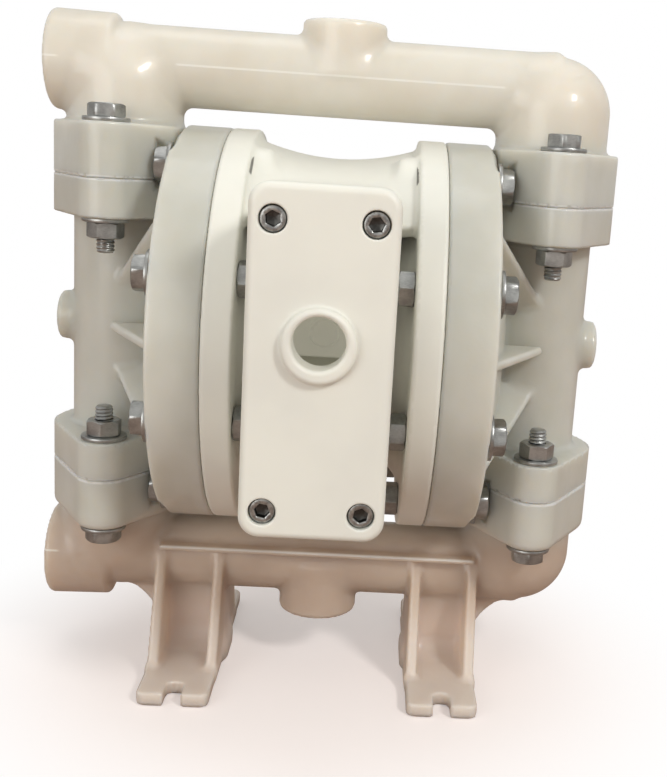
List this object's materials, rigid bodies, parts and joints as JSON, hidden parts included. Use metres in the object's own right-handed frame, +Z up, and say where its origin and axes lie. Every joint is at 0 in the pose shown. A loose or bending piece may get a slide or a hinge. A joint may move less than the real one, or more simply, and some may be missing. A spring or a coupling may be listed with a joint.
{
  "type": "air operated diaphragm pump",
  "caption": "Air operated double diaphragm pump in natural and white plastic, with side manifolds, ball valves, front exhaust plate and notched feet.",
  "frame": {"origin": "on the floor, under the middle of the shaft", "axes": "+X along the shaft away from the ports, +Y to the back (air valve side), +Z up"},
  "size_m": [0.2055, 0.194, 0.2434],
  "materials": {
    "white_moulding": "satin moulded",
    "natural_moulding": "satin translucent",
    "stainless_steel": "plain",
    "black_rubber": "matte",
    "diaphragm_rubber": "matte",
    "grey_acetal": "satin",
    "grey_casting": "cast",
    "white_ball": "smooth"
  },
  "bodies": {
    "pump_body": {"air_valve_body": "white_moulding", "air_valve_gasket": "black_rubber", "centre_block": "white_moulding", "chamber_bolts": "stainless_steel", "chamber_nuts": "stainless_steel", "chamber_washers": "stainless_steel", "discharge_manifold": "natural_moulding", "exhaust_gasket": "black_rubber", "exhaust_plate": "white_moulding", "inlet_manifold": "natural_moulding", "left_diaphragm": "diaphragm_rubber", "left_inlet_seat": "natural_moulding", "left_liquid_chamber": "natural_moulding", "left_outlet_seat": "natural_moulding", "lower_valve_cap": "white_moulding", "manifold_bolts": "stainless_steel", "manifold_nuts": "stainless_steel", "manifold_washers": "stainless_steel", "pilot_orings": "black_rubber", "pilot_sleeve": "grey_acetal", "plate_screws": "stainless_steel", "right_diaphragm": "diaphragm_rubber", "right_inlet_seat": "natural_moulding", "right_liquid_chamber": "natural_moulding", "right_outlet_seat": "natural_moulding", "seat_orings": "black_rubber", "shaft_seals": "black_rubber", "upper_valve_cap": "white_moulding", "valve_screws": "stainless_steel"},
    "shaft_assembly": {"shaft": "stainless_steel", "left_inner_piston": "grey_casting", "right_inner_piston": "grey_casting", "left_outer_piston": "natural_moulding", "right_outer_piston": "natural_moulding"},
    "pilot": {"pilot_spool": "grey_acetal"},
    "air_spool": {"air_valve_spool": "grey_acetal", "spool_rings": "black_rubber"},
    "left_inlet_ball": {"left_inlet_ball": "white_ball"},
    "left_outlet_ball": {"left_outlet_ball": "white_ball"},
    "right_inlet_ball": {"right_inlet_ball": "white_ball"},
    "right_outlet_ball": {"right_outlet_ball": "white_ball"}
  },
  "joints": [
    {"name": "shaft_slide", "type": "slide", "parent": "pump_body", "child": "shaft_assembly", "axis": [1, 0, 0], "range_m": [-0.008, 0.008], "deforming": ["left_diaphragm", "right_diaphragm"]},
    {"name": "pilot_slide", "type": "slide", "parent": "pump_body", "child": "pilot", "axis": [1, 0, 0], "range_m": [-0.0035, 0.0035]},
    {"name": "spool_slide", "type": "slide", "parent": "pump_body", "child": "air_spool", "axis": [0, 0, 1], "range_m": [0, 0.01]},
    {"name": "left_inlet_lift", "type": "slide", "parent": "pump_body", "child": "left_inlet_ball", "axis": [0, 0, 1], "range_m": [0, 0.0055]},
    {"name": "left_outlet_lift", "type": "slide", "parent": "pump_body", "child": "left_outlet_ball", "axis": [0, 0, 1], "range_m": [0, 0.0055]},
    {"name": "right_inlet_lift", "type": "slide", "parent": "pump_body", "child": "right_inlet_ball", "axis": [0, 0, 1], "range_m": [0, 0.0055]},
    {"name": "right_outlet_lift", "type": "slide", "parent": "pump_body", "child": "right_outlet_ball", "axis": [0, 0, 1], "range_m": [0, 0.0055]}
  ],
  "couplings": [
    {"joint": "pilot_slide", "follows": "shaft_slide", "ratio": 0.4375}
  ]
}
